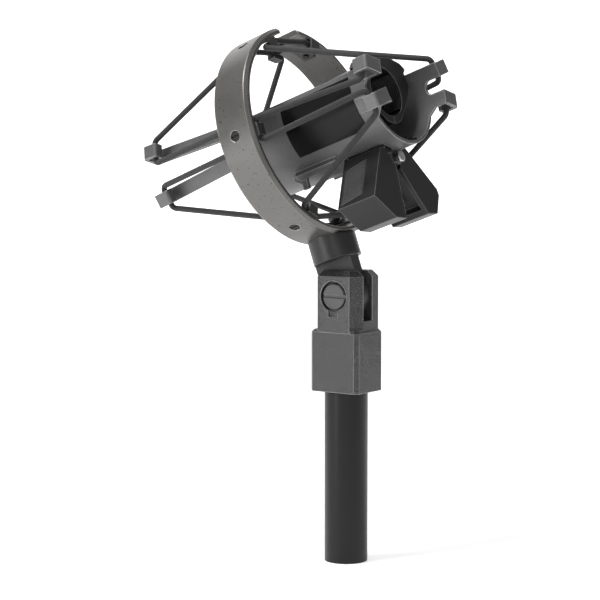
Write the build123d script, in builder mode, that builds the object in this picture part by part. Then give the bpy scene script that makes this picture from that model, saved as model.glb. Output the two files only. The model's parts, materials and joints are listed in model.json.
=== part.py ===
"""Microphone shock mount with a spring clip, on the top section of its stand.

A split ring carries six hook brackets. Two closed elastic cords hang a trough-shaped cradle in the ring.
A clothespin clip in the cradle grips the microphone. The ring's stem tilts in an adapter on the stand's thread.
Millimetres, +Z up along the stand, origin at the centre of the tube's lower end. The tilt screw lies along Y.
"""

from build123d import *
import math
import os

# ------------------------------------------------------------------ driving dimensions
tube_radius = 9.1  # stand tube
tube_wall = 1.5
tube_top = 72.0  # underside of the adapter
stud_radius = 7.94  # 5/8 inch stand thread
bore_radius = 8.0  # thread bore in the adapter
bore_depth = 20.0

block_width = 24.0  # adapter, along X
block_depth = 20.0  # adapter, along Y
block_chamfer = 1.7
shoulder_height = 98.0  # top of the square block
ear_top = 122.6
ear_half_width = 10.7
slot_width = 6.6  # gap between the two ears
slot_floor = 101.6
screw_height = 112.0  # tilt axis
screw_radius = 3.0
head_radius = 5.5
counterbore_radius = 6.4
nut_across_flats = 10.0

rest_tilt = 19.5  # degrees that the stem leans towards -X at rest
stem_reach = 71.0  # tilt axis to the cradle's reference point
boss_radius = 10.2
boss_shift = 0.7  # boss axis, forwards of the tilt axis
boss_foot = -56.0  # lower end of the boss, from the reference point
tongue_radius = 9.5
tongue_thickness = 6.0

ring_radius = 45.6
ring_drop = 1.0  # ring centre below the cradle's reference point
ring_thickness = 2.7
ring_width = 18.0
ring_chamfer = 1.3
ring_gap = (-9.0, 8.3)  # degrees from the top, + towards +Y
hook_angles = (-90.0, 90.0, -150.0, 150.0)  # brackets with both hooks at one angle
top_front_angle = 22.0
top_rear_angle = 14.0
top_screw_angle = 30.0
hook_reach = 10.0  # half length of a bracket along the ring axis
hook_width = 6.0
hook_sheet = 0.8
hook_base_radius = 42.75
hook_lip_radius = 38.4
bracket_screw_radius = 1.25

cord_radius = 1.25
cord_bend = 2.6

shell_radius = 23.6
shell_wall = 1.4
shell_lift = 1.2  # cradle centre above the reference point
lip_station = 51.5  # front edge of the trough
tail_station = -18.0  # rear edge of the trough
arm_height = 5.9
arm_sheet = 1.5
front_tip = 60.0
rear_tip = -60.4
short_rear_tip = -43.0
hook_depth = 9.3  # how far the cord hooks stand out from an arm's inner face
hook_length = 7.5
tip_fold = 1.4  # outer radius where an arm's sheet is folded round the cord
arm_lean = 14.7  # degrees that an arm leans inwards, away from the middle
arm_inner = 21.45  # inner face of an arm, from the middle plane
arm_offset = 5.63  # middle of an arm's inner face, above or below the cradle centre
arm_spread = 3.1  # how much further out the rear arms end

pivot_height = -25.3  # clip pivot, from the reference point
pin_radius = 1.5
knuckle_radius = 2.55
lever_rear = 24.8
lever_front = 43.4
lever_stagger = 3.2  # the far handle sits this much further back
jaw_front = 46.3
flange_thickness = 2.0  # raised front edge of each jaw
seat_radius = 9.7  # closed clip, inside the rubber pads
seat_height = 2.0
pad_thickness = 0.9

# ------------------------------------------------------------------ frames
lean = math.radians(rest_tilt)
axis_dir = Vector(math.cos(lean), 0, math.sin(lean))  # along the ring and the cradle, forwards
up_dir = Vector(-math.sin(lean), 0, math.cos(lean))  # along the stem, away from the stand
side_dir = Vector(0, 1, 0)
tilt_axis = Vector(0, 0, screw_height)
reference = tilt_axis + up_dir * stem_reach
ring_centre = reference - up_dir * ring_drop


def place(station, side, height):
    """A point given along the ring axis, sideways and upwards from the reference point."""
    return reference + axis_dir * station + side_dir * side + up_dir * height


def section_plane(station):
    """Cross-section plane: x sideways, y up the stem, z forwards."""
    return Plane(origin=place(station, 0, 0), x_dir=side_dir, z_dir=axis_dir)


def profile_plane(side):
    """Side-view plane: x forwards, y up the stem, z towards -Y."""
    return Plane(origin=place(0, side, 0), x_dir=axis_dir, z_dir=-side_dir)


def radial_dir(angle):
    turn = math.radians(angle)
    return side_dir * math.sin(turn) + up_dir * math.cos(turn)


def hook_plane(angle):
    """Plane through the ring axis: x forwards, y outwards at the given angle."""
    outward = radial_dir(angle)
    return Plane(origin=ring_centre, x_dir=axis_dir, z_dir=axis_dir.cross(outward))


def hole_plane(angle, radius):
    """Plane square to a ring radius: z outwards."""
    outward = radial_dir(angle)
    return Plane(origin=ring_centre + outward * radius, x_dir=axis_dir, z_dir=outward)


def cross_plane(side):
    """Upright plane square to the tilt screw: x along X, y along Z, z towards -Y."""
    return Plane(origin=(0, side, screw_height), x_dir=(1, 0, 0), z_dir=(0, -1, 0))


def sector_points(start, end, reach):
    """Corners of a wide wedge from the centre, between two angles from the top."""
    first = (reach * math.sin(math.radians(start)), reach * math.cos(math.radians(start)))
    last = (reach * math.sin(math.radians(end)), reach * math.cos(math.radians(end)))
    return [(0, 0), first, last]


os.makedirs("parts", exist_ok=True)


def save(piece, name):
    piece.label = name
    export_step(piece, f"parts/{name}.step")


# ------------------------------------------------------------------ stand
with BuildPart() as stand_tube:
    with BuildSketch(Plane.XY):
        Circle(tube_radius)
        Circle(tube_radius - tube_wall, mode=Mode.SUBTRACT)
    extrude(amount=tube_top)
    top_rims = stand_tube.edges().filter_by(GeomType.CIRCLE).group_by(Axis.Z)[-1]
    chamfer(top_rims.sort_by(SortBy.RADIUS)[-1], 0.4)

plug_foot = 50.0
with BuildPart() as stand_stud:
    with BuildSketch(Plane.XY.offset(plug_foot)):
        Circle(tube_radius - tube_wall - 0.05)
    extrude(amount=tube_top - plug_foot)
    with BuildSketch(Plane.XY.offset(tube_top)):
        Circle(stud_radius)
    extrude(amount=bore_depth - 2)
    chamfer(stand_stud.edges().group_by(Axis.Z)[-1], 1.0)
    with BuildSketch(Plane.XY.offset(plug_foot)):
        Circle(4.0)
    extrude(amount=bore_depth + tube_top - plug_foot - 2, mode=Mode.SUBTRACT)

# ------------------------------------------------------------------ adapter
ear_front_corner = 7.9
ear_back_chamfer = 2.0
ear_side_break = 3.3
with BuildPart() as adapter_block:
    with BuildSketch(Plane.XY.offset(tube_top)):
        Rectangle(block_width, block_depth)
        chamfer(vertices(), block_chamfer)
    extrude(amount=shoulder_height - tube_top)
    chamfer(adapter_block.faces().sort_by(Axis.Z)[-1].edges(), 1.2)
    with BuildSketch(Plane.XY.offset(shoulder_height - 2)):
        half_depth = block_depth / 2 - 0.2
        Polygon(
            (-ear_front_corner, -half_depth),
            (ear_front_corner, -half_depth),
            (ear_half_width, -ear_side_break),
            (ear_half_width, half_depth - ear_back_chamfer),
            (ear_half_width - ear_back_chamfer, half_depth),
            (-ear_half_width + ear_back_chamfer, half_depth),
            (-ear_half_width, half_depth - ear_back_chamfer),
            (-ear_half_width, -ear_side_break),
            align=None,
        )
    extrude(amount=ear_top - shoulder_height + 2)
    chamfer(adapter_block.faces().sort_by(Axis.Z)[-1].edges(), 2.4)
    with BuildSketch(Plane.XY.offset(slot_floor)):
        Rectangle(block_width + 2, slot_width)
    extrude(amount=ear_top - slot_floor + 1, mode=Mode.SUBTRACT)
    with BuildSketch(Plane.XY.offset(tube_top)):
        Circle(bore_radius)
    extrude(amount=bore_depth, mode=Mode.SUBTRACT)
    with BuildSketch(cross_plane(block_depth / 2 + 1)):
        Circle(screw_radius + 0.05)
    extrude(amount=block_depth + 2, mode=Mode.SUBTRACT)
    with BuildSketch(cross_plane(-block_depth / 2 + 2.8)):
        Circle(counterbore_radius)
    extrude(amount=4, mode=Mode.SUBTRACT)
    with BuildSketch(cross_plane(-block_depth / 2 + 1.6)):
        with Locations((-0.2, -counterbore_radius - 0.7)):
            Rectangle(4.6, 3.2)
    extrude(amount=3, mode=Mode.SUBTRACT)
    with BuildSketch(cross_plane(block_depth / 2 + 1)):
        RegularPolygon(nut_across_flats / 2 + 0.1, 6, major_radius=False)
    extrude(amount=4.4, mode=Mode.SUBTRACT)

with BuildPart() as swivel_screw:
    with BuildSketch(cross_plane(-block_depth / 2 + 2.7)):
        Circle(head_radius)
    extrude(amount=2.4)
    chamfer(swivel_screw.faces().sort_by(Axis.Y)[0].edges(), 0.5)
    with BuildSketch(cross_plane(block_depth / 2 - 0.4)):
        Circle(screw_radius)
    extrude(amount=block_depth - 3)
    with BuildSketch(cross_plane(-block_depth / 2 + 1.3)):
        Rectangle(2 * head_radius + 1, 1.3)
    extrude(amount=2, mode=Mode.SUBTRACT)

with BuildPart() as swivel_nut:
    with BuildSketch(cross_plane(block_depth / 2 - 0.4)):
        RegularPolygon(nut_across_flats / 2, 6, major_radius=False)
        Circle(screw_radius + 0.02, mode=Mode.SUBTRACT)
    extrude(amount=2.9)

with BuildPart() as friction_washers:
    for washer_face in (tongue_thickness / 2 + 0.27, -tongue_thickness / 2 - 0.05):
        with BuildSketch(cross_plane(washer_face)):
            Circle(6.2)
            Circle(screw_radius + 0.05, mode=Mode.SUBTRACT)
        extrude(amount=0.22)

# ------------------------------------------------------------------ ring
with BuildPart() as suspension_ring:
    with BuildSketch(section_plane(-ring_width / 2)):
        with Locations((0, -ring_drop)):
            Circle(ring_radius)
            Circle(ring_radius - ring_thickness, mode=Mode.SUBTRACT)
            Polygon(*sector_points(*ring_gap, 2 * ring_radius), align=None, mode=Mode.SUBTRACT)
    extrude(amount=ring_width)
    outer_rims = suspension_ring.edges().filter_by(GeomType.CIRCLE).filter_by(
        lambda edge: abs(edge.radius - ring_radius) < 0.01
    )
    chamfer(outer_rims, ring_chamfer)
    for angle in (-90, 90, -150, 150, -top_screw_angle, top_screw_angle):
        with BuildSketch(hole_plane(angle, ring_radius - ring_thickness - 2)):
            Circle(bracket_screw_radius + 0.1)
        extrude(amount=8, mode=Mode.SUBTRACT)
        with BuildSketch(hole_plane(angle, ring_radius - 1.7)):
            Circle(2.3)
        extrude(amount=4, mode=Mode.SUBTRACT)

with BuildPart() as ring_stem:
    boss_plane = Plane(origin=place(boss_shift, 0, boss_foot), x_dir=axis_dir, z_dir=up_dir)
    with BuildSketch(boss_plane):
        Circle(boss_radius)
    extrude(amount=14)
    with BuildSketch(section_plane(-20)):
        with Locations((0, -ring_drop)):
            Circle(ring_radius + 0.02)
    extrude(amount=40, mode=Mode.SUBTRACT)
    with BuildSketch(profile_plane(tongue_thickness / 2)):
        with Locations((0, -stem_reach)):
            Circle(tongue_radius)
        with Locations((0, (boss_foot - stem_reach) / 2 + 0.5)):
            Rectangle(2 * tongue_radius - 0.7, stem_reach + boss_foot + 1)
    extrude(amount=tongue_thickness)
    with BuildSketch(profile_plane(tongue_thickness / 2 + 1)):
        with Locations((0, -stem_reach)):
            Circle(screw_radius + 0.05)
    extrude(amount=tongue_thickness + 2, mode=Mode.SUBTRACT)


# ------------------------------------------------------------------ hook brackets
def hook_outline(direction):
    """Half of a bracket, seen along the tangent: base, end wall and the lip that holds the cord in."""
    wall = hook_reach - hook_sheet
    lip_end = hook_reach - 3.8
    base = hook_base_radius
    lip = hook_lip_radius
    outline = [
        (0, base),
        (hook_reach, base),
        (hook_reach, lip),
        (lip_end, lip),
        (lip_end, lip + hook_sheet),
        (wall, lip + hook_sheet),
        (wall, base - hook_sheet),
        (0, base - hook_sheet),
    ]
    return [(direction * x, y) for x, y in outline]


brackets = {}
hook_plan = [(-10, 2.4), (-8.6, 3), (8.6, 3), (10, 2.4), (10, -2.4), (8.6, -3), (-8.6, -3), (-10, -2.4)]
bracket_names = ("near_hook_bracket", "far_hook_bracket", "lower_near_hook_bracket", "lower_far_hook_bracket")
for name, angle in zip(bracket_names, hook_angles):
    with BuildPart() as bracket:
        for direction in (1, -1):
            with BuildSketch(hook_plane(angle)):
                Polygon(*hook_outline(direction), align=None)
            extrude(amount=hook_width / 2, both=True)
        with BuildSketch(hole_plane(angle, hook_lip_radius - 1)):
            Polygon(*hook_plan, align=None)
        extrude(amount=8, mode=Mode.INTERSECT)
        with BuildSketch(hole_plane(angle, hook_base_radius - 3)):
            Circle(bracket_screw_radius + 0.1)
        extrude(amount=6, mode=Mode.SUBTRACT)
    brackets[name] = bracket.part

for name, side in (("top_near_hook_bracket", -1), ("top_far_hook_bracket", 1)):
    with BuildPart() as bracket:
        for direction, angle in ((1, top_front_angle), (-1, top_rear_angle)):
            with BuildSketch(hook_plane(side * angle)):
                Polygon(*hook_outline(direction), align=None)
            extrude(amount=hook_width / 2 - 0.3, both=True)
        with BuildSketch(section_plane(-3)):
            with Locations((0, -ring_drop)):
                Circle(hook_base_radius)
                Circle(hook_base_radius - hook_sheet, mode=Mode.SUBTRACT)
                band = sector_points(side * 10.5, side * 33.5, 2 * ring_radius)
                Polygon(*band, align=None, mode=Mode.INTERSECT)
        extrude(amount=6)
        with BuildSketch(hole_plane(side * top_screw_angle, hook_base_radius - 3)):
            Circle(bracket_screw_radius + 0.1)
        extrude(amount=6, mode=Mode.SUBTRACT)
    brackets[name] = bracket.part

with BuildPart() as bracket_screws:
    for angle in (-90, 90, -150, 150, -top_screw_angle, top_screw_angle):
        with BuildSketch(hole_plane(angle, hook_base_radius - hook_sheet - 0.6)):
            Circle(bracket_screw_radius)
        extrude(amount=ring_radius - 1.65 - hook_base_radius + hook_sheet + 0.6)
        with BuildSketch(hole_plane(angle, ring_radius - 1.65)):
            Circle(2.15)
        extrude(amount=1.3)
        with BuildSketch(hole_plane(angle, ring_radius - 1.0)):
            Rectangle(5, 0.6)
        extrude(amount=2, mode=Mode.SUBTRACT)

# ------------------------------------------------------------------ cradle shell
upper_edge = shell_lift + 8.8
lower_edge = shell_lift - 8.9
notch_radius = 3.15
cradle_outline = [
    (front_tip, upper_edge),
    (tail_station, upper_edge),
    (tail_station, -30.0),
    (lip_station, -30.0),
    (lip_station, lower_edge - 3.0),
    (lip_station + 3.0, lower_edge),
    (front_tip, lower_edge),
    (front_tip, shell_lift - notch_radius),
    (lip_station + notch_radius, shell_lift - notch_radius),
    (lip_station + notch_radius, shell_lift + notch_radius),
    (front_tip, shell_lift + notch_radius),
]


def arm_plane(side, flip, tip):
    """Plane of an arm's inner face at its tip: x forwards, z out of the arm; flip is -1 on the lower arms."""
    turn = math.radians(arm_lean)
    outward = side_dir * (side * math.cos(turn)) + up_dir * (flip * math.sin(turn))
    root = place(-10, side * arm_inner, shell_lift + flip * arm_offset)
    spread = arm_spread * (-10 - tip) / (-10 - rear_tip) if tip < 0 else 0
    end = place(tip, side * arm_inner, shell_lift + flip * (arm_offset + spread))
    forward = (end - root).normalized() * (1 if tip > 0 else -1)
    outward = (outward - forward * outward.dot(forward)).normalized()
    return Plane(origin=end, x_dir=forward, z_dir=outward)


def tip_outline(direction):
    """Plan of an arm's end: the sheet turns out, back and in again to hold the cord."""
    outline = [
        (12.0, 0),
        (0, 0),
        (0, hook_depth),
        (hook_length, hook_depth),
        (hook_length, hook_depth - 4.0),
        (hook_length - arm_sheet, hook_depth - 4.0),
        (hook_length - arm_sheet, hook_depth - arm_sheet),
        (arm_sheet, hook_depth - arm_sheet),
        (arm_sheet, arm_sheet),
        (12.0, arm_sheet),
    ]
    return [(-direction * x, y) for x, y in outline]


arm_ends = []  # side, flip and tip station of the eight arms
for side in (-1, 1):
    for flip in (-1, 1):
        arm_ends.append((side, flip, front_tip))
        arm_ends.append((side, flip, rear_tip if side < 0 else short_rear_tip))

slot_inner = 3.4
slot_outer = 10.6
lugs = ((22.0, 24.5), (35.2, 37.4))
with BuildPart() as cradle_shell:
    with BuildSketch(section_plane(tail_station)):
        with Locations((0, shell_lift)):
            Circle(shell_radius)
            Circle(shell_radius - shell_wall, mode=Mode.SUBTRACT)
    extrude(amount=front_tip - tail_station)
    with BuildSketch(profile_plane(40)):
        Polygon(*cradle_outline, align=None)
    extrude(amount=80, mode=Mode.INTERSECT)
    with BuildSketch(profile_plane(30)):
        with Locations((lip_station + notch_radius, shell_lift)):
            Circle(notch_radius)
        with Locations((tail_station, shell_lift)):
            Circle(notch_radius)
    extrude(amount=60, mode=Mode.SUBTRACT)
    for side, flip, tip in arm_ends:
        direction = 1 if tip > 0 else -1
        arm = arm_plane(side, flip, tip)
        reach = 15 if tip > 0 else -10 - tip
        with BuildSketch(arm):
            with Locations((-direction * reach / 2, 0)):
                Rectangle(reach, arm_height)
        extrude(amount=arm_sheet)
        with BuildSketch(Plane(origin=arm.origin, x_dir=arm.x_dir, z_dir=arm.x_dir.cross(arm.z_dir))):
            Polygon(*tip_outline(direction), align=None)
            fillet(vertices().filter_by(lambda corner: corner.Y > hook_depth - 1), tip_fold)
        extrude(amount=arm_height / 2, both=True)
    for side in (-1, 1):
        with BuildSketch(section_plane(lever_rear - 0.9)):
            with Locations((side * (slot_inner + slot_outer) / 2, pivot_height + 4)):
                Rectangle(slot_outer - slot_inner, 12)
        extrude(amount=lever_front - lever_rear + 1.8, mode=Mode.SUBTRACT)
        with BuildSketch(section_plane(2.0)):
            with Locations((side * 13.2, -19.3)):
                Rectangle(3.4, 3.0, rotation=side * 33)
        extrude(amount=21 if side < 0 else 18.6)
    for start, end in lugs:
        with BuildSketch(section_plane(start)):
            with Locations((0, pivot_height)):
                Circle(3.1)
            with Locations((0, pivot_height + 2.0)):
                Rectangle(6.2, 4.2)
        extrude(amount=end - start)
    with BuildSketch(profile_plane(-10.6)):
        Polygon(
            (-1.5, -17.0),
            (5.0, -17.0),
            (5.0, -25.5),
            (2.4, -25.5),
            (2.4, -23.0),
            (-1.0, -21.0),
            align=None,
        )
    extrude(amount=1.8)
    with BuildSketch(section_plane(20)):
        with Locations((0, pivot_height)):
            Circle(pin_radius + 0.02)
    extrude(amount=30, mode=Mode.SUBTRACT)

plate_inner = shell_radius + 0.03
with BuildPart() as name_plate:
    with BuildSketch(section_plane(9.3)):
        with Locations((0, shell_lift)):
            Circle(plate_inner + 0.3)
            Circle(plate_inner, mode=Mode.SUBTRACT)
            Polygon(*sector_points(-128.5, -73.5, 60), align=None, mode=Mode.INTERSECT)
    extrude(amount=35.5)

with BuildPart() as floor_pad:
    with BuildSketch(section_plane(45.6)):
        with Locations((0, shell_lift)):
            Circle(shell_radius - shell_wall - 0.02)
            Circle(shell_radius - shell_wall - 1.0, mode=Mode.SUBTRACT)
            Polygon(*sector_points(166, 194, 60), align=None, mode=Mode.INTERSECT)
    extrude(amount=5.2)
    for rib in (-2.0, 2.0):
        with BuildSketch(section_plane(45.6)):
            with Locations((rib, shell_lift - shell_radius + shell_wall + 1.3)):
                Rectangle(0.9, 1.2)
        extrude(amount=5.2)

# ------------------------------------------------------------------ clip levers
far_knuckles = ((24.8, 27.3), (37.7, 40.2))
near_knuckles = ((27.6, 30.1), (40.5, 43.0))
pivot_clearance = 4.0
handle_outlines = {
    -1: [(8.4, -21.4), (11.6, -20.7), (26.0, -41.0), (14.5, -50.5), (7.4, -51.2), (4.1, -29.2)],
    1: [
        (8.4, -21.4),
        (12.0, -20.4),
        (27.4, -38.6),
        (27.6, -41.3),
        (22.4, -49.2),
        (15.4, -49.0),
        (4.1, -29.2),
    ],
}
pocket_outline = [(3.0, -27.8), (5.8, -27.0), (16.9, -44.0), (15.4, -46.6), (0.0, -46.6)]


jaw_body = [(0.3, 15.5), (5.0, 15.0), (9.5, 13.8), (16.0, 11.3), (17.6, 10.0)]
jaw_flange = [(0.3, 16.8), (9.5, 16.8), (16.8, 14.4), (19.4, 11.9), (17.6, 10.2)]
jaw_foot = [(18.8, 4.2), (14.6, -1.4), (8.4, -7.5), (5.0, -10.8), (0.3, -12.2)]


def jaw_outline(side, top):
    """Section of a jaw, above the trough's floor."""
    return [(side * x, y) for x, y in top + jaw_foot]


def make_lever(side, knuckles, handle_rear):
    handle_front = handle_rear + lever_front - lever_rear
    with BuildPart() as lever:
        with BuildSketch(section_plane(lever_rear)):
            Polygon(*jaw_outline(side, jaw_body), align=None)
        extrude(amount=jaw_front - lever_rear)
        with BuildSketch(section_plane(jaw_front - flange_thickness)):
            Polygon(*jaw_outline(side, jaw_flange), align=None)
        extrude(amount=flange_thickness)
        with BuildSketch(section_plane(lever_rear)):
            with Locations((side * 6.25, -16.0)):
                Rectangle(4.3, 15.0)
        extrude(amount=min(lever_front, handle_front) - lever_rear)
        with BuildSketch(section_plane(lever_rear - 1)):
            with Locations((0, seat_height)):
                Circle(seat_radius + pad_thickness + 0.02)
        extrude(amount=jaw_front - lever_rear + 2, mode=Mode.SUBTRACT)
        with BuildSketch(section_plane(handle_rear)):
            Polygon(*[(side * x, y) for x, y in handle_outlines[side]], align=None)
        extrude(amount=handle_front - handle_rear)
        with BuildSketch(section_plane(handle_rear + 2)):
            Polygon(*[(side * x, y) for x, y in pocket_outline], align=None)
        extrude(amount=handle_front - handle_rear - 4, mode=Mode.SUBTRACT)
        with BuildSketch(section_plane(handle_rear - 1)):
            with Locations((0, pivot_height)):
                Circle(pivot_clearance)
        extrude(amount=jaw_front, mode=Mode.SUBTRACT)
        for start, end in knuckles:
            with BuildSketch(section_plane(start)):
                with Locations((0, pivot_height)):
                    Circle(knuckle_radius)
                with Locations((side * 3.2, pivot_height)):
                    Rectangle(3.6, 2 * knuckle_radius - 1)
            extrude(amount=end - start)
        with BuildSketch(section_plane(handle_rear - 1)):
            with Locations((0, pivot_height)):
                Circle(pin_radius + 0.05)
        extrude(amount=jaw_front, mode=Mode.SUBTRACT)
    return lever.part


levers = {
    "near_lever": make_lever(-1, near_knuckles, lever_rear),
    "far_lever": make_lever(1, far_knuckles, lever_rear - lever_stagger),
}

pads = {}
for name, side in (("near_jaw_pad", -1), ("far_jaw_pad", 1)):
    with BuildPart() as pad:
        with BuildSketch(section_plane(lever_rear + 0.4)):
            with Locations((0, seat_height)):
                Circle(seat_radius + pad_thickness)
                Circle(seat_radius, mode=Mode.SUBTRACT)
            with Locations((side * 14.8, seat_height)):
                Rectangle(20, 15.0, mode=Mode.INTERSECT)
        extrude(amount=jaw_front - lever_rear - 0.8)
    pads[name] = pad.part

with BuildPart() as clip_pin:
    with BuildSketch(section_plane(20.6)):
        with Locations((0, pivot_height)):
            Circle(pin_radius)
    extrude(amount=24.4)
    with BuildSketch(section_plane(43.8)):
        with Locations((0, pivot_height)):
            Circle(2.3)
    extrude(amount=1.2)
    fillet(clip_pin.edges().filter_by(GeomType.CIRCLE).filter_by(lambda edge: edge.radius > 2), 0.4)

with BuildPart() as pin_retainer:
    with BuildSketch(section_plane(21.0)):
        with Locations((0, pivot_height)):
            Circle(2.5)
            Circle(pin_radius + 0.01, mode=Mode.SUBTRACT)
            with Locations((0, -2.0)):
                Rectangle(1.6, 2.4, mode=Mode.SUBTRACT)
    extrude(amount=0.8)

# ------------------------------------------------------------------ torsion spring
spring_wire = 0.45  # wire radius
spring_coil_radius = 2.1
spring_start = 31.3
spring_turns = 3
spring_swelling = 0.08  # where a leg leaves the coil
spring_pitch = 1.0
spring_foot = (12.8, -40.0)  # where each leg bears in its handle
spring_curl = (12.9, -42.4)  # outermost point of the curl past the foot
spring_tip = (10.8, -43.6)  # end of the curl
coil_start_angle = 35.0  # where the wire leaves the coil for the far handle
coil_turns = spring_turns + (180 - 2 * coil_start_angle) / 360
start_turn = math.radians(coil_start_angle)
coil_x = side_dir * math.cos(start_turn) + up_dir * math.sin(start_turn)
coil_plane = Plane(origin=place(spring_start, 0, pivot_height), x_dir=coil_x, z_dir=axis_dir)
with BuildLine() as coil:
    Helix(pitch=spring_pitch, height=coil_turns * spring_pitch, radius=spring_coil_radius)
coil_path = coil.line.moved(coil_plane.location)
leg_start = (
    spring_coil_radius * math.cos(start_turn),
    pivot_height + spring_coil_radius * math.sin(start_turn),
)
with BuildPart() as clip_spring:
    with BuildSketch(Plane(origin=coil_path @ 0, z_dir=coil_path % 0)):
        Circle(spring_wire)
    sweep(path=coil_path, is_frenet=True)
    with Locations(coil_path @ 0, coil_path @ 1):
        Sphere(spring_wire + spring_swelling)
    for side, station in ((1, spring_start), (-1, spring_start + coil_turns * spring_pitch)):
        with BuildLine(section_plane(station)) as leg:
            corners = (leg_start, spring_foot, spring_curl, spring_tip)
            start, foot, curl, tip = [(side * x, y) for x, y in corners]
            Line(start, foot)
            ThreePointArc(foot, curl, tip)
        with BuildSketch(Plane(origin=leg.line @ 0, z_dir=leg.line % 0)):
            Circle(spring_wire)
        sweep(path=leg.line)

# ------------------------------------------------------------------ elastic cords
pocket_station = hook_reach - hook_sheet - cord_radius - 0.1
pocket_radius = hook_lip_radius + hook_sheet + cord_radius + 0.1
hook_exit = hook_width / 2 + 1.8
tip_turn = arm_height / 2 + 2.1
tip_pocket_depth = hook_depth - arm_sheet - cord_radius - 0.15
tip_pocket_back = hook_length - arm_sheet - cord_radius - 0.15


def ring_stop(angle, station):
    """The two points where a cord enters and leaves a ring hook, in order of rising angle."""
    middle = ring_centre + axis_dir * station + radial_dir(angle) * pocket_radius
    along = radial_dir(angle + 90)
    return [middle - along * hook_exit, middle + along * hook_exit]


def arm_stop(side, flip, tip):
    """Where a cord enters and leaves an arm's hook, rising on the near side and falling on the far side."""
    arm = arm_plane(side, flip, tip)
    along = arm.x_dir.cross(arm.z_dir)
    if (along.dot(up_dir) < 0) == (side < 0):
        along = along * -1
    back = -tip_pocket_back if tip > 0 else tip_pocket_back
    middle = arm.origin + arm.x_dir * back + arm.z_dir * tip_pocket_depth
    return [middle - along * tip_turn, middle + along * tip_turn]


def cord_route(front):
    """Closed route over six ring hooks and four arm hooks, starting up the near side."""
    station = pocket_station if front else -pocket_station
    top = top_front_angle if front else top_rear_angle
    near_tip = front_tip if front else rear_tip
    far_tip = front_tip if front else short_rear_tip
    stops = []
    stops += ring_stop(-90, station)
    stops += arm_stop(-1, 1, near_tip)
    stops += ring_stop(-top, station)
    stops += ring_stop(top, station)
    stops += arm_stop(1, 1, far_tip)
    stops += ring_stop(90, station)
    stops += arm_stop(1, -1, far_tip)
    stops += ring_stop(150, station)
    stops += ring_stop(-150, station)
    stops += arm_stop(-1, -1, near_tip)
    return stops


def make_cord(front):
    """One closed cord: swept round all its hooks, then closed by a straight piece in its last free run."""
    route = cord_route(front)
    gap = route[0] - route[-1]
    loop = [route[-1] + gap * 0.7] + route + [route[-1] + gap * 0.3]
    radii = []
    for before, corner, after in zip(loop, loop[1:], loop[2:]):
        half_turn = (corner - before).get_angle(after - corner) / 2
        room = 0.46 * min((corner - before).length, (after - corner).length)
        radii.append(min(cord_bend, room / math.tan(math.radians(half_turn))))
    print("cord radii", [round(radius, 2) for radius in radii])
    with BuildPart() as cord:
        with BuildLine() as path:
            FilletPolyline(*loop, radius=radii)
        with BuildSketch(Plane(origin=loop[0], z_dir=loop[1] - loop[0])):
            Circle(cord_radius)
        sweep(path=path.line)
        with BuildSketch(Plane(origin=loop[-1], z_dir=gap)):
            Circle(cord_radius)
        extrude(amount=(loop[0] - loop[-1]).length)
    length = sum(edge.length for edge in path.edges()) + (loop[0] - loop[-1]).length
    filled = cord.part.volume / (length * math.pi * cord_radius**2)
    print("cord length", round(length, 1), "volume over section times length", round(filled, 4))
    return cord.part


cords = {"front_elastic_cord": make_cord(True), "rear_elastic_cord": make_cord(False)}

# ------------------------------------------------------------------ export
save(stand_tube.part, "stand_tube")
save(stand_stud.part, "stand_stud")
save(adapter_block.part, "adapter_block")
save(swivel_screw.part, "swivel_screw")
save(swivel_nut.part, "swivel_nut")
save(friction_washers.part, "friction_washers")
save(suspension_ring.part, "suspension_ring")
save(ring_stem.part, "ring_stem")
save(bracket_screws.part, "bracket_screws")
save(cradle_shell.part, "cradle_shell")
save(name_plate.part, "name_plate")
save(floor_pad.part, "floor_pad")
save(clip_pin.part, "clip_pin")
save(pin_retainer.part, "pin_retainer")
save(clip_spring.part, "clip_spring")
for group in (brackets, levers, pads, cords):
    for name, piece in group.items():
        save(piece, name)
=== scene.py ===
"""Looks of the microphone shock mount: paint, rubber, elastic cords, grip ridges, light and camera."""

import bpy
import json
import math
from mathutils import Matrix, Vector


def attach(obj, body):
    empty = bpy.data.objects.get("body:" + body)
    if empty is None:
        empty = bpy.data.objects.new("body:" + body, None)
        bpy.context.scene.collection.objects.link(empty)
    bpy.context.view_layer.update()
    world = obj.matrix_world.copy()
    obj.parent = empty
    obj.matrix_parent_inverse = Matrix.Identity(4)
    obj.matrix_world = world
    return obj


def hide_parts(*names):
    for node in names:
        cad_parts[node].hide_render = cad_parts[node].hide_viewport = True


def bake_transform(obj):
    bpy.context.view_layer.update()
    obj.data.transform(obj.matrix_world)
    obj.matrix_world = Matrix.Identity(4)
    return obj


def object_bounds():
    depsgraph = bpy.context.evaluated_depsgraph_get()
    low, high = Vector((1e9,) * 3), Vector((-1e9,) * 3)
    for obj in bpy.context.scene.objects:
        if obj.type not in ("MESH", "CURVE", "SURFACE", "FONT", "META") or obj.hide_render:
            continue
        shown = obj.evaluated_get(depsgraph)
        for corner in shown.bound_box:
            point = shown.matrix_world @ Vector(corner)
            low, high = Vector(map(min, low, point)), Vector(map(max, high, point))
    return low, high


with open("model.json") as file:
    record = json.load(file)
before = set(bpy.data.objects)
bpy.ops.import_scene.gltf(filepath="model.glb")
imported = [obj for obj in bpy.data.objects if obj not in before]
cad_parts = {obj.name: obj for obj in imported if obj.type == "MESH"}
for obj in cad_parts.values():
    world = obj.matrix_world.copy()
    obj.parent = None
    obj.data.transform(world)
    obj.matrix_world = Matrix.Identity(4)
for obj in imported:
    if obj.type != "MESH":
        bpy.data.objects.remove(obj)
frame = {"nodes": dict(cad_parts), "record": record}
cad_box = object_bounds()

MM = 0.001

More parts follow.
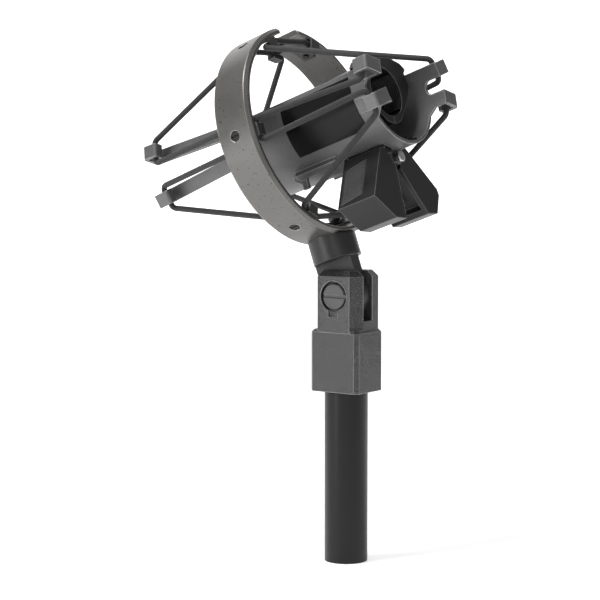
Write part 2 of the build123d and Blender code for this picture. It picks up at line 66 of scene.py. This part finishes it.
# ------------------------------------------------------------------ driving dimensions, in millimetres
rest_tilt = 19.5  # degrees that the stem leans at rest
screw_height = 112  # tilt axis above the floor
stem_reach = 71  # tilt axis to the cradle's reference point
ring_drop = 1

cord_radius = 1.25 * MM
cord_bend = 2.6 * MM
ring_hook_radius = 40.55  # cord's middle in a ring hook, from the ring's axis
ring_hook_station = 7.85
ring_hook_exit = 4.8
ring_side_angle = 90.0
ring_low_angle = 150.0
top_front_angle = 22.0
top_rear_angle = 14.0

front_tip = 60.0  # ends of the cradle's arms
rear_tip = -60.4
short_rear_tip = -43.0
arm_root = -10
arm_lean = 14.7
arm_inner = 21.45
arm_offset = 5.63
arm_spread = 3.1
shell_lift = 1.2
arm_hook_back = 4.6  # cord's middle in an arm's hook
arm_hook_depth = 6.4
arm_hook_exit = 5.05

braid_step = 0.32 * MM
braid_pitch = 2.6 * MM
braid_lobes = 6

pivot_height = -25.3  # clip pivot
coil_radius = 2.1
coil_start = 31.3
coil_turns = 3 + 110 / 360
coil_start_angle = 35
wire_radius = 0.45 * MM
wire_step = 0.22 * MM
leg_line = [(1.72, -24.1), (12.8, -40.0)]
curl_centre = (10.92, -41.31)
curl_radius = 2.29
curl_first_angle = 34.9
curl_swing = 128

# ------------------------------------------------------------------ the part's own directions
lean = math.radians(rest_tilt)
axis_dir = Vector((math.cos(lean), 0, math.sin(lean)))
up_dir = Vector((-math.sin(lean), 0, math.cos(lean)))
side_dir = Vector((0, 1, 0))
reference = Vector((0, 0, screw_height * MM)) + up_dir * stem_reach * MM
ring_centre = reference - up_dir * ring_drop * MM


def place(station, side, height):
    """A point in metres from millimetres along the ring axis, sideways and up the stem."""
    return reference + (axis_dir * station + side_dir * side + up_dir * height) * MM


def radial_dir(angle):
    turn = math.radians(angle)
    return side_dir * math.sin(turn) + up_dir * math.cos(turn)


# ------------------------------------------------------------------ material nodes
def add(tree, kind, **settings):
    """A new node; settings name its inputs or its own properties."""
    made = tree.nodes.new(kind)
    for key, value in settings.items():
        if key in made.inputs:
            made.inputs[key].default_value = value
        else:
            setattr(made, key, value)
    return made


def link(tree, start, output, end, entry):
    tree.links.new(start.outputs[output], end.inputs[entry])


def grey(value, tint=(1.0, 1.0, 1.0)):
    return (value * tint[0], value * tint[1], value * tint[2], 1.0)


def edge_highlight_mask(tree, rounding):
    """0 on flat faces, rising to 1 on sharp edges, with the rounded normal it was made from; it places the
    painted edge highlight.
    """
    bevel = add(tree, "ShaderNodeBevel", samples=4, Radius=rounding)
    geometry = add(tree, "ShaderNodeNewGeometry")
    dot = add(tree, "ShaderNodeVectorMath", operation="DOT_PRODUCT")
    link(tree, bevel, "Normal", dot, 0)
    link(tree, geometry, "True Normal", dot, 1)
    ramp = add(tree, "ShaderNodeMapRange")
    ramp.inputs["From Min"].default_value = 0.97
    ramp.inputs["From Max"].default_value = 0.72
    link(tree, dot, "Value", ramp, "Value")
    return bevel, ramp


def surface(
    name,
    colour,
    speck,
    edge_highlight,
    roughness,
    metallic=0.0,
    grain=1400.0,
    relief=0.04,
    rounding=0.35 * MM,
    speck_share=0.62,
    ribs=0.0,
    gloss=0.5,
):
    """Paint, plastic, rubber or steel with fine grain, specks, soft edges and a lighter painted highlight
    on the edges.
    """
    material = bpy.data.materials.new(name)
    material.use_nodes = True
    tree = material.node_tree
    shader = tree.nodes["Principled BSDF"]
    shader.inputs["Metallic"].default_value = metallic
    shader.inputs["Specular IOR Level"].default_value = gloss
    place_at = add(tree, "ShaderNodeTexCoord")
    fine = add(tree, "ShaderNodeTexNoise", Scale=grain, Detail=4.0, Roughness=0.6)
    broad = add(tree, "ShaderNodeTexNoise", Scale=90.0, Detail=3.0)
    link(tree, place_at, "Object", fine, "Vector")
    link(tree, place_at, "Object", broad, "Vector")
    specks = add(tree, "ShaderNodeValToRGB")
    specks.color_ramp.elements[0].position = speck_share
    specks.color_ramp.elements[1].position = speck_share + 0.06
    link(tree, fine, "Fac", specks, "Fac")
    tinted = add(tree, "ShaderNodeMix", data_type="RGBA")
    tinted.inputs[6].default_value = colour
    tinted.inputs[7].default_value = speck
    link(tree, specks, "Color", tinted, 0)
    patchy = add(tree, "ShaderNodeMix", data_type="RGBA", blend_type="MULTIPLY")
    patchy.inputs[0].default_value = 0.35
    link(tree, tinted, 2, patchy, 6)
    spread = add(tree, "ShaderNodeMapRange")
    spread.inputs["To Min"].default_value = 0.75
    spread.inputs["To Max"].default_value = 1.25
    link(tree, broad, "Fac", spread, "Value")
    link(tree, spread, "Result", patchy, 7)
    bevel, highlight_mask = edge_highlight_mask(tree, rounding)
    # painted highlight: edges take a lighter colour where light would catch them
    highlighted = add(tree, "ShaderNodeMix", data_type="RGBA")
    link(tree, highlight_mask, "Result", highlighted, 0)
    link(tree, patchy, 2, highlighted, 6)
    highlighted.inputs[7].default_value = edge_highlight
    link(tree, highlighted, 2, shader, "Base Color")
    polish = add(tree, "ShaderNodeMapRange")
    polish.inputs["To Min"].default_value = roughness - 0.07
    polish.inputs["To Max"].default_value = roughness + 0.09
    link(tree, broad, "Fac", polish, "Value")
    link(tree, polish, "Result", shader, "Roughness")
    bump = add(tree, "ShaderNodeBump", Strength=0.6, Distance=relief * MM)
    link(tree, bevel, "Normal", bump, "Normal")
    link(tree, fine, "Fac", bump, "Height")
    last = bump
    if ribs:
        wave = add(tree, "ShaderNodeTexWave", Scale=ribs, bands_direction="X")
        turned = add(tree, "ShaderNodeMapping")
        turned.inputs["Rotation"].default_value = (0, lean, 0)
        link(tree, place_at, "Object", turned, "Vector")
        link(tree, turned, "Vector", wave, "Vector")
        last = add(tree, "ShaderNodeBump", Strength=0.9, Distance=0.4 * MM)
        link(tree, wave, "Fac", last, "Height")
        link(tree, bump, "Normal", last, "Normal")
    link(tree, last, "Normal", shader, "Normal")
    return material


def elastic_material():
    """Dark braided textile: threads lighter and darker at random, soft sheen."""
    material = bpy.data.materials.new("elastic_braid")
    material.use_nodes = True
    tree = material.node_tree
    shader = tree.nodes["Principled BSDF"]
    place_at = add(tree, "ShaderNodeTexCoord")
    threads = add(tree, "ShaderNodeTexNoise", Scale=4200.0, Detail=3.0)
    link(tree, place_at, "Object", threads, "Vector")
    shades = add(tree, "ShaderNodeValToRGB")
    shades.color_ramp.elements[0].color = grey(0.008, (1.0, 1.03, 1.05))
    shades.color_ramp.elements[1].color = grey(0.035, (1.0, 1.03, 1.05))
    shades.color_ramp.elements[0].position = 0.35
    shades.color_ramp.elements[1].position = 0.70
    link(tree, threads, "Fac", shades, "Fac")
    link(tree, shades, "Color", shader, "Base Color")
    shader.inputs["Roughness"].default_value = 0.75
    shader.inputs["Sheen Weight"].default_value = 0.12
    bump = add(tree, "ShaderNodeBump", Strength=0.5, Distance=0.05 * MM)
    link(tree, threads, "Fac", bump, "Height")
    link(tree, bump, "Normal", shader, "Normal")
    return material


warm = (1.0, 0.97, 0.92)
# the fourth colour of each finish is its painted edge highlight, lighter than the finish itself
materials = {
    "stand_tube_paint": surface(
        "stand_tube_paint",
        grey(0.005),
        grey(0.009),
        grey(0.05),
        0.32,
        grain=2200.0,
        relief=0.015,
        gloss=0.30,
    ),
    "stud_steel": surface("stud_steel", grey(0.45), grey(0.3), grey(0.7), 0.35, metallic=1.0),
    "adapter_paint": surface(
        "adapter_paint",
        grey(0.036),
        grey(0.26),
        grey(0.60),
        0.36,
        metallic=0.45,
        grain=4200.0,
        relief=0.06,
        rounding=0.60 * MM,
        speck_share=0.55,
    ),
    "screw_steel": surface("screw_steel", grey(0.10), grey(0.06), grey(0.35), 0.36, metallic=0.8),
    "nut_steel": surface("nut_steel", grey(0.40), grey(0.28), grey(0.6), 0.35, metallic=1.0),
    "washer_fibre": surface("washer_fibre", grey(0.04), grey(0.02), grey(0.08), 0.7),
    "ring_paint": surface(
        "ring_paint",
        grey(0.15, warm),
        grey(0.02, warm),
        grey(0.60, warm),
        0.34,
        metallic=0.60,
        grain=1000.0,
        rounding=0.70 * MM,
        speck_share=0.63,
    ),
    "stem_paint": surface("stem_paint", grey(0.035), grey(0.025), grey(0.20), 0.40, metallic=0.3),
    "bracket_screw_steel": surface(
        "bracket_screw_steel", grey(0.015), grey(0.008), grey(0.08), 0.45, rounding=0.1 * MM, gloss=0.3
    ),
    "bracket_paint": surface("bracket_paint", grey(0.055), grey(0.03), grey(0.22), 0.40, metallic=0.3),
    "cradle_paint": surface(
        "cradle_paint",
        grey(0.135),
        grey(0.060),
        grey(0.55),
        0.40,
        metallic=0.40,
        grain=1600.0,
        rounding=0.70 * MM,
    ),
    "plate_black": surface(
        "plate_black", grey(0.003), grey(0.005), grey(0.03), 0.30, relief=0.01, gloss=0.25
    ),
    "pad_rubber": surface("pad_rubber", grey(0.008), grey(0.005), grey(0.02), 0.65, ribs=330.0, gloss=0.25),
    "clip_plastic": surface(
        "clip_plastic",
        grey(0.010),
        grey(0.015),
        grey(0.22),
        0.36,
        grain=1800.0,
        rounding=0.7 * MM,
        gloss=0.38,
    ),
    "pin_steel": surface("pin_steel", grey(0.65), grey(0.5), grey(0.9), 0.28, metallic=1.0),
    "spring_steel": surface(
        "spring_steel", grey(0.45), grey(0.35), grey(0.6), 0.30, metallic=1.0, rounding=0.1 * MM
    ),
}
elastic = elastic_material()

slot_of = {part["node"]: part["material_slot"] for part in frame["record"]["subparts"]}
for name, piece in frame["nodes"].items():
    if slot_of[name] in materials:
        for slot in piece.material_slots:
            slot.material = materials[slot_of[name]]

# ------------------------------------------------------------------ elastic cords
def ring_stop(angle, station):
    """Where a cord enters and leaves a ring hook."""
    middle = ring_centre + axis_dir * station * MM + radial_dir(angle) * ring_hook_radius * MM
    along = radial_dir(angle + 90) * ring_hook_exit * MM
    return ("ring", middle - along, middle + along)


def arm_stop(side, flip, tip):
    """Where a cord enters and leaves an arm's hook."""
    turn = math.radians(arm_lean)
    outward = side_dir * (side * math.cos(turn)) + up_dir * (flip * math.sin(turn))
    root = place(arm_root, side * arm_inner, shell_lift + flip * arm_offset)
    spread = arm_spread * (arm_root - tip) / (arm_root - rear_tip) if tip < 0 else 0
    end = place(tip, side * arm_inner, shell_lift + flip * (arm_offset + spread))
    forward = (end - root).normalized() * (1 if tip > 0 else -1)
    outward = (outward - forward * outward.dot(forward)).normalized()
    along = forward.cross(outward).normalized()
    if (along.dot(up_dir) < 0) == (side < 0):
        along = -along
    back = -arm_hook_back * MM if tip > 0 else arm_hook_back * MM
    middle = end + forward * back + outward * arm_hook_depth * MM
    along *= arm_hook_exit * MM
    return ("cradle", middle - along, middle + along)


def cord_stops(front):
    """The hooks one cord goes round, starting up the near side."""
    station = ring_hook_station if front else -ring_hook_station
    top = top_front_angle if front else top_rear_angle
    near_tip = front_tip if front else rear_tip
    far_tip = front_tip if front else short_rear_tip
    return [
        ring_stop(-ring_side_angle, station),
        arm_stop(-1, 1, near_tip),
        ring_stop(-top, station),
        ring_stop(top, station),
        arm_stop(1, 1, far_tip),
        ring_stop(ring_side_angle, station),
        arm_stop(1, -1, far_tip),
        ring_stop(ring_low_angle, station),
        ring_stop(-ring_low_angle, station),
        arm_stop(-1, -1, near_tip),
    ]


def corner_arc(before, corner, after):
    """Points round one bend, and the two directions it joins."""
    into = (corner - before).normalized()
    out = (after - corner).normalized()
    half_turn = into.angle(out) / 2
    room = 0.46 * min((corner - before).length, (after - corner).length)
    radius = min(cord_bend, room / math.tan(half_turn))
    reach = radius * math.tan(half_turn)
    centre = corner + (out - into).normalized() * radius / math.cos(half_turn)
    first = corner - into * reach - centre
    swing = first.cross(corner + out * reach - centre).normalized()
    points = []
    for step in range(13):
        turn = 2 * half_turn * step / 12
        points.append(centre + first * math.cos(turn) + swing.cross(first) * math.sin(turn))
    return points, into, out


def even_points(points, spacing):
    """The same path with points at an even spacing."""
    found = [points[0]]
    left = spacing
    for start, end in zip(points, points[1:]):
        run = (end - start).length
        at = left
        while at < run:
            found.append(start.lerp(end, at / run))
            at += spacing
        left = at - run
    if (found[-1] - points[-1]).length > spacing * 0.3:
        found.append(points[-1])
    return found


def add_tube(verts, faces, points, around, radius_at):
    """One closed tube along the points; radius_at takes a point's number, the last one's and the turn."""
    normal = (points[1] - points[0]).normalized().orthogonal().normalized()
    base = len(verts)
    final = len(points) - 1
    for i, point in enumerate(points):
        ahead = (points[min(i + 1, final)] - points[max(i - 1, 0)]).normalized()
        normal = (normal - ahead * normal.dot(ahead)).normalized()
        binormal = ahead.cross(normal)
        for j in range(around):
            turn = 2 * math.pi * j / around
            outward = normal * math.cos(turn) + binormal * math.sin(turn)
            verts.append(point + outward * radius_at(i, final, turn))
    for i in range(final):
        for j in range(around):
            a = base + i * around + j
            b = base + i * around + (j + 1) % around
            faces.append((a, b, b + around, a + around))
    last = base + final * around
    faces.append(tuple(base + j for j in reversed(range(around))))
    faces.append(tuple(last + j for j in range(around)))


def new_piece(name, verts, faces, material):
    """A smooth-shaded mesh object with one material."""
    mesh = bpy.data.meshes.new(name)
    mesh.from_pydata([tuple(v) for v in verts], [], faces)
    mesh.validate()
    mesh.polygons.foreach_set("use_smooth", [True] * len(mesh.polygons))
    mesh.materials.append(material)
    piece = bpy.data.objects.new(name, mesh)
    bpy.context.scene.collection.objects.link(piece)
    return piece


def braid_radius(i, final, turn):
    """The cord's radius where two sets of threads cross over and under each other."""
    travel = i * braid_step * 2 * math.pi / braid_pitch
    left = math.sin(braid_lobes * turn + 2 * travel)
    right = math.sin(braid_lobes * turn - 2 * travel)
    return cord_radius * (0.955 + 0.045 * left * right)


def wire_radius_at(i, final, turn):
    """The spring wire's radius, drawn in at both ends."""
    return wire_radius * (0.55 if i in (0, final) else 1.0)


def braided_tubes(name, paths):
    """Round braided cord along each path."""
    verts = []
    faces = []
    for path in paths:
        add_tube(verts, faces, even_points(path, braid_step), 24, braid_radius)
    return new_piece(name, verts, faces, elastic)


def make_cord(front):
    """A cord in pieces: round the ring's hooks, round the arms' hooks, and the free runs between them."""
    label = "front" if front else "rear"
    node = label + "_elastic_cord"
    stops = cord_stops(front)
    count = len(stops)
    held = {"ring": [], "cradle": []}
    ends = []
    for i, (body, entry, leave) in enumerate(stops):
        before = stops[i - 1][2]
        after = stops[(i + 1) % count][1]
        entry_arc, into, _ = corner_arc(before, entry, leave)
        leave_arc, _, out = corner_arc(entry, leave, after)
        start = entry_arc[0] - into * 0.4 * MM
        end = leave_arc[-1] + out * 0.4 * MM
        held[body].append([start] + entry_arc + leave_arc + [end])
        ends.append((start, end))
    runs = 0
    for i in range(count):
        body = stops[i][0]
        other = stops[(i + 1) % count][0]
        start = ends[i][1]
        end = ends[(i + 1) % count][0]
        if body == other:
            held[body].append([start, end])
            continue
        runs += 1
        run = braided_tubes(f"{label}_cord_run_{runs}", [[start, end]])
        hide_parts(node)
        if body == "ring":
            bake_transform(run)
        else:
            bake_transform(run)
    for body, paths in held.items():
        wraps = braided_tubes(f"{label}_cord_on_{body}", paths)
        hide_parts(node)
        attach(wraps, body)


make_cord(True)
make_cord(False)


# ------------------------------------------------------------------ torsion spring
def wire_tube(name, points, body):
    """Spring wire along the points, riding on a body."""
    verts = []
    faces = []
    add_tube(verts, faces, even_points(points, wire_step), 14, wire_radius_at)
    piece = new_piece(name, verts, faces, materials["spring_steel"])
    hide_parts("clip_spring")
    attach(piece, body)


def make_spring():
    """The coil stays with the pin; each leg stays in its handle."""
    coil = []
    for step in range(240):
        share = step / 239
        turn = math.radians(coil_start_angle + 360 * coil_turns * share)
        across = coil_radius * math.cos(turn)
        height = pivot_height + coil_radius * math.sin(turn)
        coil.append(place(coil_start + coil_turns * share, across, height))
    wire_tube("spring_coil", coil, "cradle")
    for side, station, body in ((1, coil_start, "far_jaw"), (-1, coil_start + coil_turns, "near_jaw")):
        leg = list(leg_line)
        for step in range(1, 15):
            turn = math.radians(curl_first_angle - curl_swing * step / 14)
            across = curl_centre[0] + curl_radius * math.cos(turn)
            leg.append((across, curl_centre[1] + curl_radius * math.sin(turn)))
        wire_tube("spring_leg_" + body, [place(station, side * x, y) for x, y in leg], body)


make_spring()

# ------------------------------------------------------------------ grip ridges on the near handle
def grip_ridges():
    """Fine raised ridges, slanting across the near handle's outer face."""
    top = Vector((-11.6, -20.7))
    foot = Vector((-26.0, -41.0))
    down = (foot - top).normalized()
    out = Vector((down.y, -down.x))
    if out.x > 0:
        out = -out
    verts = []
    faces = []
    for i in range(15):
        start_at = 4.0 + i * 1.2
        end_at = start_at + 2.4
        if end_at > (foot - top).length - 0.8:
            break
        base = len(verts)
        steps = 14
        for s in range(steps + 1):
            share = s / steps
            station = 26.0 + 11.0 * share
            along = start_at + (end_at - start_at) * (1 - share)
            fade = min(1.0, 6 * share, 6 * (1 - share))
            height = 0.05 + 0.30 * math.sin(fade * math.pi / 2)
            for across, rise in ((-0.38, -0.1), (-0.20, 0.8), (0.0, 1.0), (0.20, 0.8), (0.38, -0.1)):
                spot = top + down * (along + across) + out * (height * rise)
                verts.append(place(station, spot.x, spot.y))
        for s in range(steps):
            for j in range(4):
                a = base + s * 5 + j
                faces.append((a, a + 1, a + 6, a + 5))
    piece = new_piece("near_grip_ridges", verts, faces, materials["clip_plastic"])
    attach(piece, "near_jaw")


grip_ridges()

# ------------------------------------------------------------------ stage, light and camera
def plain_white(name, glow):
    material = bpy.data.materials.new(name)
    material.use_nodes = True
    shader = material.node_tree.nodes["Principled BSDF"]
    shader.inputs["Base Color"].default_value = grey(0.85)
    shader.inputs["Roughness"].default_value = 0.9
    shader.inputs["Emission Color"].default_value = grey(1.0)
    shader.inputs["Emission Strength"].default_value = glow
    return material


def sheet_of_paper(name, corners, material):
    mesh = bpy.data.meshes.new(name)
    mesh.from_pydata(corners, [], [(0, 1, 2, 3)])
    mesh.materials.append(material)
    paper = bpy.data.objects.new(name, mesh)
    bpy.context.scene.collection.objects.link(paper)


floor_level = cad_box[0][2] - 0.2 * MM
sheet_of_paper(
    "floor",
    [(-3, -3, floor_level), (3, -3, floor_level), (3, 3, floor_level), (-3, 3, floor_level)],
    plain_white("floor_white", 0.60),
)
left = Vector((-0.814, -0.581, 0))
front = Vector((0.567, -0.824, 0))
back_low = Vector((0, 0, floor_level)) - front * 2.2
back_high = back_low + Vector((0, 0, 2.4))
backdrop_corners = [
    tuple(back_low + left * 2),
    tuple(back_low - left * 2),
    tuple(back_high - left * 2),
    tuple(back_high + left * 2),
]
sheet_of_paper("backdrop", backdrop_corners, plain_white("backdrop_white", 0.95))


def soft_light(name, spot, aim, width, height, power):
    lamp = bpy.data.lights.new(name, "AREA")
    lamp.shape = "RECTANGLE"
    lamp.size = width
    lamp.size_y = height
    lamp.energy = power
    holder = bpy.data.objects.new(name, lamp)
    bpy.context.scene.collection.objects.link(holder)
    holder.location = spot
    holder.rotation_euler = (Vector(aim) - Vector(spot)).to_track_quat("-Z", "Y").to_euler()


middle = (0, 0, 0.16)
centre = Vector(middle)
soft_light("key", centre + left * 0.45 + front * 0.15 + Vector((0, 0, 0.85)), middle, 0.40, 0.40, 9.0)
soft_light("left_strip", centre + left * 0.75 + front * 0.50, middle, 0.07, 0.9, 3.2)
soft_light("right_strip", centre - left * 0.80 - front * 0.05, middle, 0.12, 0.9, 0.4)
soft_light("front_fill", centre + front * 1.0 + Vector((0, 0, 0.35)), middle, 0.5, 0.5, 1.2)

world = bpy.data.worlds.new("studio")
bpy.context.scene.world = world
world.use_nodes = True
world.node_tree.nodes["Background"].inputs["Color"].default_value = grey(1.0)
world.node_tree.nodes["Background"].inputs["Strength"].default_value = 0.16
bpy.context.scene.view_settings.view_transform = "Standard"

camera_data = bpy.data.cameras.new("camera")
camera_data.lens = 113.64
camera_data.sensor_width = 36.0
camera = bpy.data.objects.new("camera", camera_data)
camera.location = (0.4414, -0.6522, 0.1785)
camera.rotation_euler = (math.radians(85.02), 0, math.radians(35.5))
bpy.context.scene.collection.objects.link(camera)
bpy.context.scene.camera = camera
